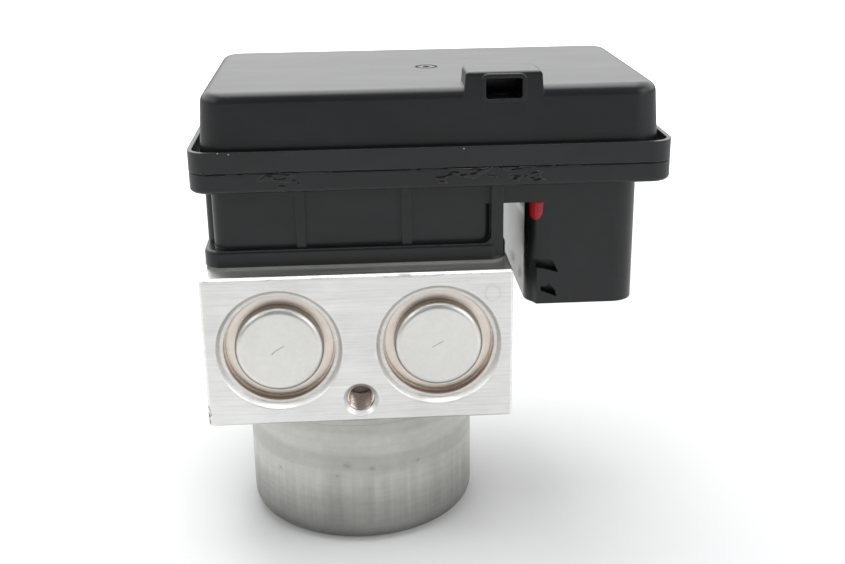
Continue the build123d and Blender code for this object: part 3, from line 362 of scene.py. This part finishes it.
def block_aluminium():
    """Machined block: level tool marks, cloud, a tool's ring, scratches, a nick, a bruised edge,
    and painted shade on the bore walls.
    """
    b = Build("block_aluminium")
    b.set(Metallic=1.0)
    marks = b.noise(1500, 3, 0.6, (0.02, 1, 1))
    tone = b.ramp(b.noise(1500, 4, 0.7, (0.03, 1, 1)), [(0.3, 0.88), (0.7, 1.06)])
    wide = b.ramp(b.noise(160, 3, 0.6, (0.06, 1, 1)), [(0.32, 0.95), (0.65, 1.02)])
    cloud = b.ramp(b.noise(40, 4, 0.65), [(0.32, 0.92), (0.6, 1.0)])
    shade = b.mix(1.0, b.mix(1.0, tone, wide, "MULTIPLY"), cloud, "MULTIPLY")
    shade = b.mix(1.0, (0.93, 0.932, 0.913), shade, "MULTIPLY")
    edges, rounded = edge_mask(b, 0.0004)
    shade = b.mix(b.math("MULTIPLY", edges, 0.4), shade, (0.95, 0.95, 0.94))
    ring = b.vector("DISTANCE", b.shaken(0.0014, 420), TOOL_RING, "Value")
    inside = b.range(ring, 0, 1, 0.0018, 0.0021)
    ring = b.math("MULTIPLY", inside, b.range(ring, 1, 0, 0.0024, 0.0028))
    shade = b.mix(b.math("MULTIPLY", ring, 0.14), shade, (0.35, 0.34, 0.33))
    ragged = b.shaken(0.0022, 700)
    nick = b.stroke(ragged, *NICK, 0.0007)
    patchy = b.range(b.noise(220, 2), 0, 0.16, 0.45, 0.6)
    scored = b.most([
        b.stroke(b.coord, (x0, BLOCK_FRONT, z0), (x1, BLOCK_FRONT, z1), 0.0002)
        for x0, z0, x1, z1 in BLOCK_SCRATCHES
    ])
    shade = b.mix(b.math("MULTIPLY", scored, patchy), shade, (0.3, 0.3, 0.3))
    # Painted shade: the bore walls round the caps are tinted darker and brown.
    level = b.vector("MULTIPLY", b.coord, (1, 0, 1))
    bores = b.most([b.spot(level, (x, 0, CAP_Z), 0.0190, 0.05) for x in (-CAP_X, CAP_X)])
    bore_shade = b.math("MULTIPLY", bores, b.range(b.axis("Y"), 0, 1, -0.0364, -0.0350))
    bore_shade = b.math("MULTIPLY", bore_shade, b.range(b.axis("Y"), 1, 0, -0.0300, -0.0290))
    shade = b.mix(bore_shade, shade, (0.62, 0.50, 0.42))
    shade = b.mix(nick, shade, (0.03, 0.03, 0.03))
    crest = b.range(b.axis("Z"), 0, 1, 0.0873, 0.0879)
    crest = b.math("MULTIPLY", crest, b.range(b.axis("Y"), 1, 0, -0.0377, -0.0368))
    bruised = b.range(b.noise(330, 4, 0.7, (0.5, 1, 1)), 0, 0.6, 0.56, 0.64)
    bruise = b.math("MULTIPLY", crest, bruised)
    shade = b.mix(bruise, shade, (0.2, 0.2, 0.21))
    rough = b.range(b.noise(900, 3, 0.6, (0.03, 1, 1)), 0.36, 0.46, 0.3, 0.7)
    return b.finish(shade, rough, b.bump(marks, 0.00002, 0.6, rounded))


# Scratches on the caps' crowns, as x and z of both ends.
CAP_SCRATCHES = (
    (-0.0251, 0.06525, -0.0218, 0.0673), (0.0215, 0.06530, 0.0245, 0.0671),
    (-0.0254, 0.0648, -0.0247, 0.0656),
)


def cap_steel():
    """Zinc-plated cap: pale crown, warm flange, and between them painted shade and dark reflection,
    grey on the crown's shoulder and brown at its base.
    """
    b = Build("cap_steel")
    b.set(Metallic=1.0)
    depth = b.range(b.axis("Y"), 0, 1, -0.0376, -0.0331)
    # Painted shade and dark reflection by depth: grey on the shoulder and dark brown at the crown's
    # base, between the pale crown and the beige flange.
    colour = b.ramp(depth, [
        (0.0, (0.85, 0.845, 0.815)), (0.3, (0.74, 0.72, 0.69)), (0.62, (0.50, 0.43, 0.375)),
        (0.94, (0.36, 0.295, 0.245)), (1.0, (0.92, 0.85, 0.77)),
    ])
    cloud = b.ramp(b.noise(60, 4, 0.6), [(0.3, 0.95), (0.65, 1.0)])
    fine = b.ramp(b.noise(700, 3, 0.6), [(0.3, 0.97), (0.7, 1.02)])
    colour = b.mix(1.0, b.mix(1.0, colour, cloud, "MULTIPLY"), fine, "MULTIPLY")
    ragged = b.shaken(0.0005, 900)
    marks = b.most([
        b.stroke(ragged, (x0, CAP_CROWN, z0), (x1, CAP_CROWN, z1), 0.00022)
        for x0, z0, x1, z1 in CAP_SCRATCHES
    ])
    colour = b.mix(b.math("MULTIPLY", marks, 0.7), colour, (0.33, 0.33, 0.31))
    rough = b.range(b.noise(300, 3), 0.34, 0.42, 0.3, 0.7)
    normal = b.bump(b.noise(1800, 2), 0.000004, 0.5, rounded_normal(b, 0.0004))
    return b.finish(colour, rough, b.bump(marks, 0.00004, -0.8, normal))


# Painted reflection bands round the can, with painted shade low down by the floor: share of its
# height, and brightness there.
CAN_REFLECTION_BANDS = [
    (0.0, 0.24), (0.055, 0.38), (0.16, 0.60), (0.34, 0.78), (0.44, 0.95), (0.56, 1.0), (0.60, 0.88),
    (0.70, 0.86), (0.75, 1.0), (0.86, 0.98), (0.90, 0.88), (0.96, 0.92), (1.0, 0.88),
]
# Knocks in the can's wall: place and radius.
CAN_KNOCKS = (
    ((-0.0257, -0.0252, 0.0212), 0.0010), ((-0.0081, -0.0351, 0.0232), 0.0009),
    ((-0.0049, -0.0357, 0.0265), 0.0016), ((0.0026, -0.0359, 0.0249), 0.0012),
    ((0.0169, -0.0318, 0.0254), 0.0009), ((-0.0290, 0.0213, 0.0200), 0.0012),
    ((0.0300, 0.0199, 0.0280), 0.0014), ((0.0050, 0.03565, 0.0150), 0.0011),
)


def can_steel():
    """Drawn can: soft painted reflection bands round it, dark low down as painted shade, faint
    upright scoring low down, small knocks.
    """
    b = Build("can_steel")
    b.set(Metallic=1.0)
    height = b.axis("Z")
    wander = b.noise(18, 3, 0.6, (1, 1, 0.3))
    lifted = b.math("ADD", height, b.range(wander, -0.0016, 0.0016, 0.3, 0.7))
    # Painted reflection and painted shade: brightness bands by height, with wandering edges.
    bands = b.ramp(b.range(lifted, 0, 1, 0, CAN_HEIGHT), CAN_REFLECTION_BANDS)
    fine = b.ramp(b.noise(900, 3, 0.6, (0.05, 0.05, 1)), [(0.3, 0.95), (0.7, 1.03)])
    upright = b.ramp(b.noise(330, 3, 0.6, (1, 1, 0.012)), [(0.36, 0.86), (0.6, 1.06)])
    low = b.range(height, 0, 1, 0.004, 0.008)
    low = b.math("MULTIPLY", low, b.range(height, 1, 0, 0.02, 0.027))
    upright = b.mix(b.math("MULTIPLY", low, 0.7), 1.0, upright)
    cloud = b.ramp(b.noise(45, 4, 0.65), [(0.3, 0.88), (0.65, 1.03)])
    grain = b.ramp(b.noise(420, 4, 0.7), [(0.3, 0.95), (0.7, 1.03)])
    bands = b.mix(b.range(height, 1, 0, 0.0001, 0.0006), bands, 0.72)
    shade = b.mix(1.0, bands, fine, "MULTIPLY")
    for layer in (upright, cloud, grain):
        shade = b.mix(1.0, shade, layer, "MULTIPLY")
    shade = b.mix(1.0, (0.56, 0.563, 0.534), shade, "MULTIPLY")
    ragged = b.shaken(0.003, 420)
    knocks = b.most([b.spot(ragged, place, size, 0.7) for place, size in CAN_KNOCKS])
    shade = b.mix(b.math("MULTIPLY", knocks, 0.45), shade, (0.22, 0.22, 0.21))
    rough = b.range(b.noise(120, 3, 0.6, (0.2, 0.2, 1)), 0.28, 0.44, 0.3, 0.7)
    scoring = b.noise(900, 3, 0.6, (0.1, 0.1, 1))
    normal = b.bump(scoring, 0.00001, 0.5, rounded_normal(b, 0.0005))
    return b.finish(shade, rough, b.bump(knocks, 0.0001, -0.6, normal))


def plain(name, colour, rough, grain=0.00003, scale=900):
    """Cloudy coat with a fine grain, for plastics, rubber, paint and the like."""
    b = Build(name)
    tone = b.ramp(b.noise(60, 4, 0.6), [(0.3, scaled(colour, 0.8)), (0.7, scaled(colour, 1.15))])
    rough_map = b.range(b.noise(150, 3), rough - 0.06, rough + 0.06, 0.3, 0.7)
    return b.finish(tone, rough_map, b.bump(b.noise(scale, 3), grain, 0.5))


# metal(name, colour, roughness, scale of the tool marks, their depth), plain(name, colour,
# roughness, depth and scale of the grain).
MATERIALS = {
    "cover": cover_plastic(),
    "housing": housing_plastic(),
    "block": block_aluminium(),
    "can": can_steel(),
    "cap": cap_steel(),
    "clip": metal("clip_steel", (0.74, 0.64, 0.565), 0.32, 500, 0.00002),
    "plug": metal("plug_steel", (0.52, 0.52, 0.50), 0.3, 500, 0.00002),
    "sheet": metal("sheet_steel", (0.56, 0.56, 0.56), 0.35, 300, 0.00002),
    "bearing": metal("bearing_steel", (0.72, 0.72, 0.72), 0.18, 300, 0.00001),
    "bronze": metal("bronze", (0.66, 0.46, 0.27), 0.4, 300, 0.00002),
    "copper": metal("copper", (0.75, 0.4, 0.25), 0.35, 600, 0.00004),
    "terminal": metal("terminal_metal", (0.78, 0.75, 0.66), 0.25, 400, 0.00001, (1, 1, 0.1)),
    "spring": metal("spring_steel", (0.42, 0.42, 0.44), 0.3, 400, 0.00001),
    "piston": metal("piston_aluminium", (0.62, 0.62, 0.62), 0.35, 400, 0.00002),
    # Thread colour: a pinkish brown, partly made paler as painted light inside the shaded hole.
    "thread": metal("thread_surface", (0.92, 0.78, 0.70), 0.24, 700, 0.00001),
    "rubber": plain("gasket_rubber", (0.25, 0.25, 0.24), 0.7),
    "paint": plain("marking_paint", (0.42, 0.012, 0.014), 0.3, 0.00008, 500),
    "flash": plain("weld_flash", (0.0065, 0.0065, 0.0075), 0.2, 0.00003, 500),
    "inner": plain("inner_plastic", (0.05, 0.05, 0.05), 0.5),
    "carbon": plain("carbon", (0.06, 0.06, 0.06), 0.6),
    "ferrite": plain("ferrite", (0.09, 0.09, 0.09), 0.65),
    "board": plain("board_laminate", (0.04, 0.16, 0.07), 0.4),
    "membrane": plain("membrane", (0.02, 0.02, 0.022), 0.8),
}

# The material of each CAD node, by its name or by the name without its side or number.
LOOKS = {
    "hydraulic_block": "block", "ball_plugs": "bearing", "motor_can": "can", "rear_bush": "bronze",
    "motor_end_plate": "sheet", "motor_magnets": "ferrite", "bearing_outer_ring": "bearing",
    "bearing_inner_ring": "bearing", "bearing_balls": "bearing", "brush_holder": "inner",
    "motor_terminals": "terminal", "motor_screws": "sheet", "ecu_screws": "sheet",
    "inlet_valve_bodies": "sheet", "outlet_valve_bodies": "sheet", "coil_yokes": "sheet",
    "solenoid_coils": "copper", "connector_pins": "terminal", "ecu_housing": "housing",
    "housing_gasket": "rubber", "circuit_board": "board", "board_parts": "inner",
    "ecu_cover": "cover", "vent_membrane": "membrane", "rotor_shaft": "bearing",
    "armature_stack": "sheet", "armature_windings": "copper", "commutator": "copper",
    "eccentric_ring": "bearing",
    "pump_sleeve": "bearing", "pump_plug": "plug", "pump_spring": "spring",
    "pump_piston": "bearing",
    "accumulator_cap": "cap", "accumulator_ring": "clip", "accumulator_spring": "spring",
    "accumulator_piston": "piston", "accumulator_seal": "rubber", "brush_spring": "spring",
    "brush_left": "carbon", "brush_right": "carbon", "inlet_plunger": "bearing",
    "outlet_plunger": "bearing",
}
for name, obj in nodes.items():
    stem = name
    while stem not in LOOKS:
        stem = stem.rsplit("_", 1)[0]
    obj.data.materials.clear()
    obj.data.materials.append(MATERIALS[LOOKS[stem]])

# ---------------------------------------------------------------- springs
def spring_piece(node, joint, rule):
    """A copy of a CAD spring, which hides the CAD node. One that gets shorter is attached to its
    joint's parent body and given a mesh of its own, and one that gets longer has its place baked
    into its mesh."""
    letter = rule["mode"][-1]
    axis = "xyz".index(letter)
    fixed = rule[f"fixed_end_{letter}_m"]
    low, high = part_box(node)
    free = low[axis] if abs(low[axis] - fixed) > abs(high[axis] - fixed) else high[axis]
    growth = joint["range_m"][1] * joint["axis"][axis] * (1 if free > fixed else -1)
    obj = bpy.data.objects.new(node + "_coil", nodes[node].data.copy())
    scene.collection.objects.link(obj)
    start, end, along = list(low), list(low), [0.0, 0.0, 0.0]
    start[axis], end[axis], along[axis] = fixed, free, 1.0
    if growth < 0:
        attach(obj, joint["parent"])
        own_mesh(obj)
    else:
        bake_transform(obj)
    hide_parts(node)


for joint in frame["joints"]:
    for rule in joint.get("deforming_nodes", []):
        spring_piece(rule["node"], joint, rule)

# ---------------------------------------------------------------- trim pieces
def piece(name, verts, faces, look, smooth=True):
    """A trim mesh that rides on the module."""
    mesh = bpy.data.meshes.new(name)
    mesh.from_pydata(verts, [], faces)
    mesh.update()
    mesh.materials.append(MATERIALS[look])
    for face in mesh.polygons:
        face.use_smooth = smooth
    obj = bpy.data.objects.new(name, mesh)
    scene.collection.objects.link(obj)
    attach(obj, "module")
    return obj


def grid_faces(rows, columns, closed_columns=False, closed_rows=False):
    """Quads between the points of a grid, row by row, closed into a tube or a ring if asked."""
    faces = []
    for i in range(rows if closed_rows else rows - 1):
        for j in range(columns if closed_columns else columns - 1):
            k = (j + 1) % columns
            n = (i + 1) % rows
            faces.append((i * columns + j, i * columns + k, n * columns + k, n * columns + j))
    return faces


THREAD_ROOT = 0.0003  # how far a ridge reaches into the wall of its hole
THREAD_STEPS = 40  # points to a turn
THREAD_RUN_OUT = 20  # points over which a ridge rises and falls at its ends


def thread_ridges(name, mouth, axis, radius, length, pitch):
    """Helical ridge of a tapped hole, from a little inside its mouth to short of its end."""
    inward = -Vector(axis).normalized()
    side = inward.orthogonal().normalized()
    other = inward.cross(side)
    depth = pitch * 0.42
    turns = (length - 2 * pitch) / pitch
    root, crest = radius + THREAD_ROOT, radius - depth
    section = ((root, -0.46), (crest, -0.10), (crest, 0.10), (root, 0.46))
    verts = []
    total = int(turns * THREAD_STEPS)
    for i in range(total + 1):
        angle = 2 * math.pi * i / THREAD_STEPS
        fade = min(1.0, i / THREAD_RUN_OUT, (total - i) / THREAD_RUN_OUT)
        for r, offset in section:
            r = root + (r - radius - THREAD_ROOT) * fade
            along = 0.35 * pitch + pitch * (i / THREAD_STEPS + offset)
            spoke = side * math.cos(angle) + other * math.sin(angle)
            verts.append(Vector(mouth) + inward * along + spoke * r)
    return piece(name, verts, grid_faces(total + 1, len(section)), "thread", smooth=False)


FLASH_STEP = 0.0005
FLASH_SIDES = 8


def weld_flash():
    """Thin uneven bead of melted plastic squeezed out of the seam between cover and housing."""
    (x0, x1), (y0, y1), corner = RIM_X, RIM_Y, RIM_CORNER
    path = []
    for cx, cy, start in ((x1 - corner, y1 - corner, 0), (x0 + corner, y1 - corner, 90),
                          (x0 + corner, y0 + corner, 180), (x1 - corner, y0 + corner, 270)):
        for k in range(13):
            a = math.radians(start + 7.5 * k)
            path.append((Vector((cx + corner * math.cos(a), cy + corner * math.sin(a), SEAM)),
                         Vector((math.cos(a), math.sin(a), 0))))
    dense = []
    for (p, n), (q, m) in zip(path, path[1:] + path[:1]):
        count = max(1, int((q - p).length / FLASH_STEP))
        for k in range(count):
            dense.append((p.lerp(q, k / count), n.lerp(m, k / count).normalized()))
    verts = []
    for p, n in dense:
        swell = noise.noise(p * 130) + 0.5 * noise.noise(p * 480) - 0.3
        size = 0.00016 + 0.0005 * max(0.0, swell)
        centre = p - n * (0.00045 - 0.0006 * max(0.0, min(0.6, swell)))
        centre.z += 0.0001 * noise.noise(p * 230)
        for k in range(FLASH_SIDES):
            a = 2 * math.pi * k / FLASH_SIDES
            rise = Vector((0, 0, size * math.sin(a)))
            verts.append(centre + n * size * 0.8 * math.cos(a) + rise)
    return piece("weld_flash", verts, grid_faces(len(dense), FLASH_SIDES, True, True), "flash")


SMEAR_Z = (0.1129, 0.1175)
SMEAR_ROWS = 24
SMEAR_STEP = 0.00025
SMEAR_FADE = 0.012  # length over which a smear dies out at each end


def weld_smear(name, x0, x1, seed, amount):
    """Runs and drips of melted plastic on the lower rim, standing up to half a millimetre proud."""
    (z0, z1), face, rows = SMEAR_Z, RIM_Y[0], SMEAR_ROWS
    columns = int((x1 - x0) / SMEAR_STEP)
    verts = []
    for i in range(rows):
        z = z0 + (z1 - z0) * i / (rows - 1)
        for j in range(columns):
            x = x0 + (x1 - x0) * j / (columns - 1)
            here = Vector((x * 190, z * 420, seed))
            bend_x = noise.noise(here * 0.8 + Vector((5, 0, 0)))
            bend_z = noise.noise(here * 0.8 + Vector((0, 9, 0)))
            bend = Vector((bend_x, bend_z, 0))
            value = noise.noise(here + bend * 1.1) + 0.45 * noise.noise(here * 2.3 + bend)
            inset = min(1.0, min(x - x0, x1 - x) / SMEAR_FADE)
            value += 0.35 * (i / (rows - 1) - 0.6) - 1.2 * (1 - inset)
            lift = max(-1.0, min(1.0, (value - 0.02) * 6))
            if i in (0, rows - 1) or j in (0, columns - 1):
                lift = -1.0
            proud = amount * (0.55 + 0.45 * noise.noise(here * 3.1))
            verts.append(Vector((x, face - proud * lift, z)))
    return piece(name, verts, grid_faces(rows, columns), "flash")


def paint_dab():
    """Brushed dab of marking paint on the round corner of the connector shroud."""
    (cx, cy), corner = SHROUD_CORNER, SHROUD_RADIUS
    rows, columns = 30, 26
    verts = []
    for i in range(rows):
        down = i / (rows - 1)
        for j in range(columns):
            across = j / (columns - 1)
            left = 210 + 5 * down ** 5 + 2.5 * noise.noise(Vector((down * 5, 0.3, 0)))
            right = 250 - 2 * down - 6 * down ** 6 + 2.5 * noise.noise(Vector((down * 6, 7.1, 0)))
            angle = math.radians(left + (right - left) * across)
            rim = min(across, 1 - across) * 8
            rim = min(1.0, rim, (1 - down) * 9, down * 14)
            lift = -0.00006 + 0.00026 * max(0.0, rim) ** 0.5
            lift += 0.00006 * noise.noise(Vector((across * 9, down * 3, 2.0)))
            fall = 0.1054 - 0.0050 * down - 0.0008 * down * math.cos((across - 0.5) * 3)
            x = cx + (corner + lift) * math.cos(angle)
            y = cy + (corner + lift) * math.sin(angle)
            verts.append(Vector((x, y, fall)))
    return piece("paint_dab", verts, grid_faces(rows, columns), "paint")


# Pitch in metres, by the radius in millimetres that the record gives a threaded hole.
PITCHES = {3.0: 0.001, 4.0: 0.00125, 4.5: 0.001, 5.5: 0.001}
for mount in frame["record"]["mounts"]:
    if mount["kind"] == "threaded_hole":
        size = mount["dims"]["r_mm"]
        thread_ridges("thread_" + mount["name"], mount["pos_m"], mount["axis"], size * MM,
                      mount["dims"]["length_mm"] * MM, PITCHES[size])
weld_flash()
weld_smear("weld_smear_right", 0.016, 0.066, 3.7, 0.00045)
weld_smear("weld_smear_left", -0.036, -0.006, 8.2, 0.00030)
paint_dab()

# ---------------------------------------------------------------- floor, world and lamps
FLOOR_HALF = 9
FLOOR_Z = -0.0002
corners = [
    (-FLOOR_HALF, -FLOOR_HALF, FLOOR_Z), (FLOOR_HALF, -FLOOR_HALF, FLOOR_Z),
    (FLOOR_HALF, FLOOR_HALF, FLOOR_Z), (-FLOOR_HALF, FLOOR_HALF, FLOOR_Z),
]
floor_mesh = bpy.data.meshes.new("floor")
floor_mesh.from_pydata(corners, [], [(0, 1, 2, 3)])
floor = bpy.data.objects.new("floor", floor_mesh)
scene.collection.objects.link(floor)
fb = Build("floor")
fb.set(Roughness=0.6, Specular_IOR_Level=0.2)
rays = fb.node("ShaderNodeLightPath")
fb.shader.inputs["Emission Color"].default_value = (1, 1, 1, 1)
camera_ray, glossy_ray = rays.outputs["Is Camera Ray"], rays.outputs["Is Glossy Ray"]
away = fb.vector("LENGTH", fb.coord, None, "Value")
# Seen from the camera the floor turns white away from the object, and keeps its shadow close by.
seen = fb.math("MULTIPLY", camera_ray, fb.range(away, 0.07, 1.2, 0.24, 0.7))
# Mirrored in the object it is darker in front and behind. In front this keeps the black plastic
# black, and behind it keeps the block's back from clipping to white.
front = fb.math("MULTIPLY", glossy_ray, fb.range(fb.axis("Y"), 1, 0.25, -0.25, 0.02))
behind = fb.math("MULTIPLY", glossy_ray, fb.range(fb.axis("Y"), 0, 1, 0.06, 0.25))
darker = fb.math("MAXIMUM", front, behind)
fb.link(fb.mix(darker, (0.86, 0.865, 0.87), (0.68, 0.683, 0.686)), fb.shader.inputs["Base Color"])
mirror = fb.math("MULTIPLY", glossy_ray, fb.range(away, 0.08, 0.3, 0.0, 1.0))
mirror = fb.math("MULTIPLY", mirror, fb.range(fb.axis("Y"), 1, 0.2, 0.06, 0.25))
fb.link(fb.math("ADD", seen, mirror), fb.shader.inputs["Emission Strength"])
floor_mesh.materials.append(fb.mat)

# The world is even and soft for light, and white to the camera. Mirrored, it is a bright backdrop
# behind the object, dim on the side from which the picture is taken, and dark near the horizon.
world = bpy.data.worlds.new("studio")
scene.world = world
world.use_nodes = True
wt = world.node_tree
background = wt.nodes["Background"]
background.inputs["Color"].default_value = (1, 1, 1, 1)


def world_node(kind, **values):
    n = wt.nodes.new(kind)
    for key, value in values.items():
        setattr(n, key, value)
    return n


def world_range(value, lo, hi, a, b):
    r = world_node("ShaderNodeMapRange", interpolation_type="SMOOTHSTEP")
    for key, number in (("From Min", lo), ("From Max", hi), ("To Min", a), ("To Max", b)):
        r.inputs[key].default_value = number
    wt.links.new(value, r.inputs["Value"])
    return r.outputs["Result"]


def world_mix(fac, a, b):
    m = world_node("ShaderNodeMix", data_type="FLOAT")
    wt.links.new(fac, m.inputs[0])
    for place, v in ((2, a), (3, b)):
        if isinstance(v, (int, float)):
            m.inputs[place].default_value = v
        else:
            wt.links.new(v, m.inputs[place])
    return m.outputs[0]


path = world_node("ShaderNodeLightPath")
direction = world_node("ShaderNodeSeparateXYZ")
wt.links.new(world_node("ShaderNodeTexCoord").outputs["Generated"], direction.inputs[0])
mirrored = world_range(direction.outputs["Y"], -0.55, 0.2, 0.2, 2.3)
level = world_range(direction.outputs["Z"], 0.05, 0.26, 0.08, 1.0)
both = world_node("ShaderNodeMath", operation="MULTIPLY")
wt.links.new(mirrored, both.inputs[0])
wt.links.new(level, both.inputs[1])
strength = world_mix(path.outputs["Is Glossy Ray"], 0.46, both.outputs[0])
strength = world_mix(path.outputs["Is Camera Ray"], strength, 1.0)
wt.links.new(strength, background.inputs["Strength"])


def lamp(name, place, target, size, power):
    data = bpy.data.lights.new(name, "AREA")
    data.shape = "RECTANGLE"
    data.size, data.size_y = size
    data.energy = power
    obj = bpy.data.objects.new(name, data)
    scene.collection.objects.link(obj)
    obj.location = place
    obj.rotation_mode = "QUATERNION"
    obj.rotation_quaternion = (Vector(target) - Vector(place)).to_track_quat("-Z", "Y")


centre = (0.02, 0.0, 0.07)
lamp("top", (-0.05, 0.34, 1.2), centre, (0.9, 1.6), 13)
lamp("key", (-1.1, -0.8, 0.9), centre, (0.8, 0.8), 3)
lamp("fill", (1.1, -0.9, 0.7), centre, (0.9, 0.9), 5)
